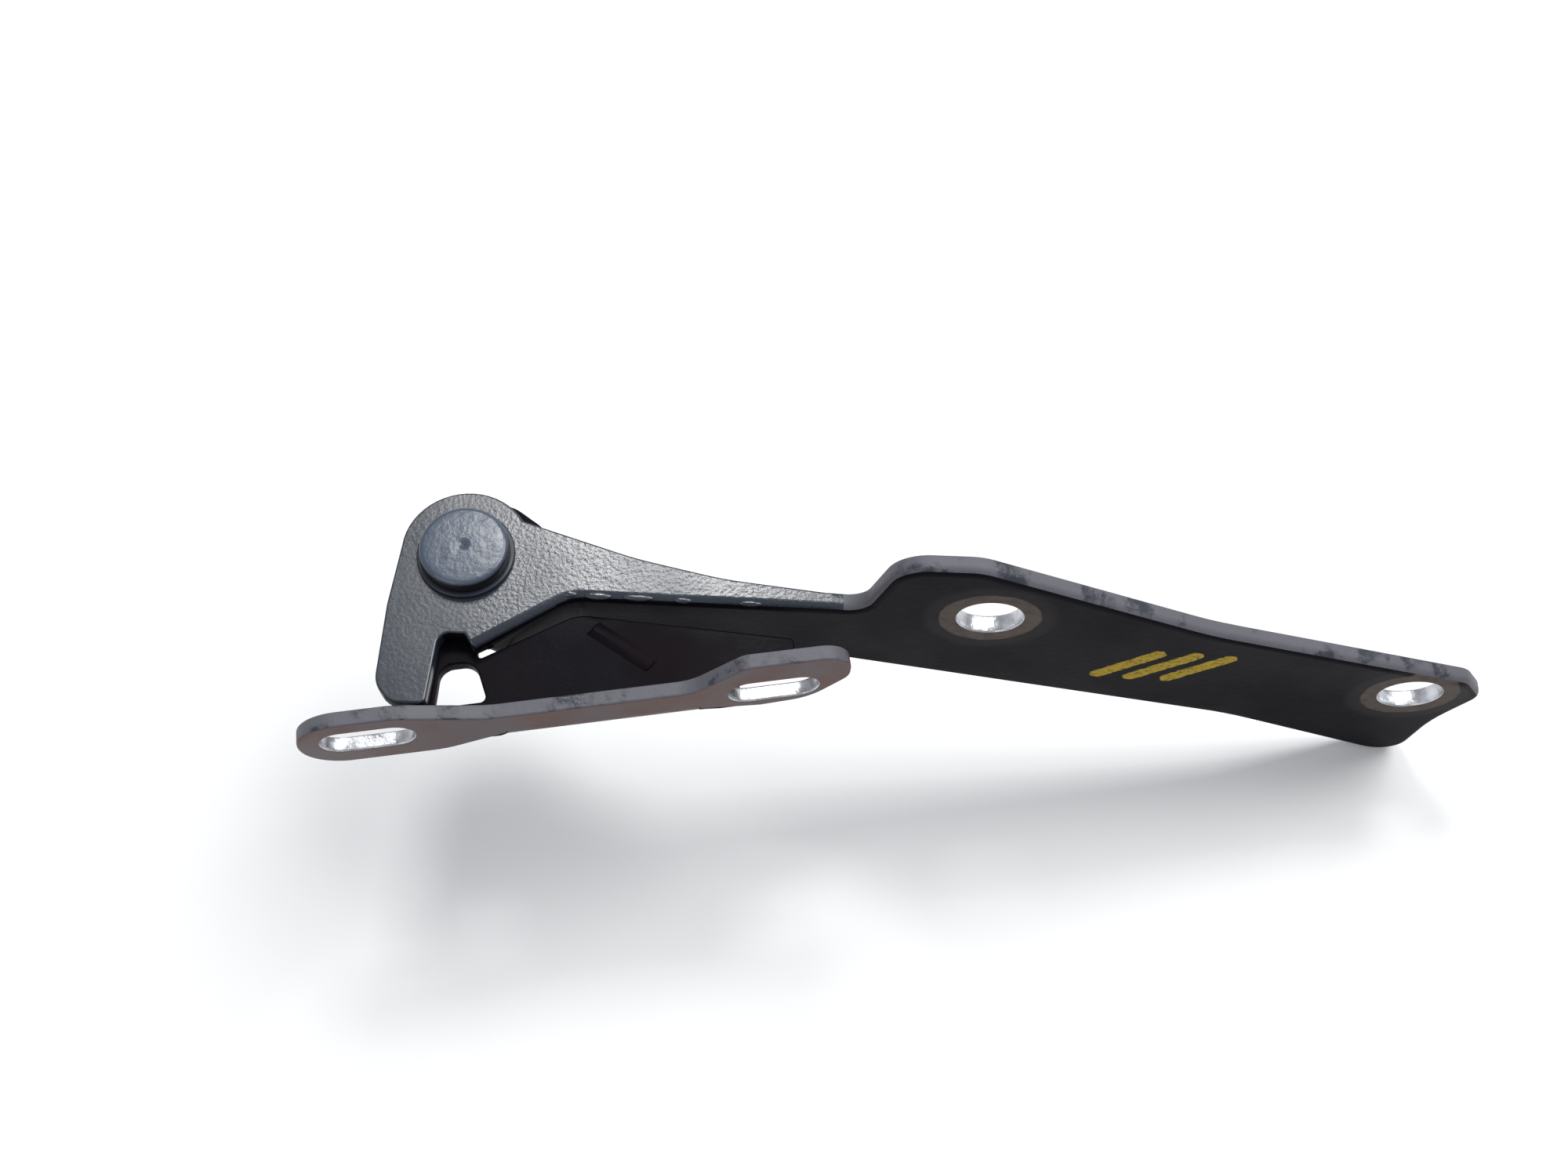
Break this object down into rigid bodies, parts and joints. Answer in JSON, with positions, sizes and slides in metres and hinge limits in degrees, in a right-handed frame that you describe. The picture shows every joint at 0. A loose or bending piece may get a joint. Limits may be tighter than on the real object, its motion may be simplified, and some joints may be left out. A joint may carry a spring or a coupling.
{
  "type": "bonnet hinge",
  "caption": "Riveted bonnet hinge: a cranked bracket bolts to the body and a long flanged arm carries the bonnet on one pivot.",
  "frame": {"origin": "midway between the two body bolt slots, on the face of the bracket that lies on the body", "axes": "+X along the bracket flange from the pivot end towards the arm's far end, +Y out of the body face towards the pivot, +Z along the pivot axis towards the rivet head"},
  "size_m": [0.2036, 0.0511, 0.0662],
  "materials": {
    "bracket_paint": "black primer over pressed steel, worn and lightly rusted on the flange",
    "arm_paint": "gloss black with orange peel and runs",
    "rivet_paint": "satin black over a forged head",
    "bush_paint": "satin black",
    "washer_metal": "plain zinc-plated steel"
  },
  "bodies": {
    "bracket": {"body_bracket": "bracket_paint", "pivot_rivet": "rivet_paint", "pivot_bush": "bush_paint", "spacer_washer": "washer_metal"},
    "arm": {"bonnet_arm": "arm_paint"}
  },
  "joints": [
    {"name": "arm_swing", "type": "hinge", "parent": "bracket", "child": "arm", "pos_m": [-0.0151, 0.0313, 0], "axis": [0, 0, 1], "range_deg": [0, 55]}
  ]
}
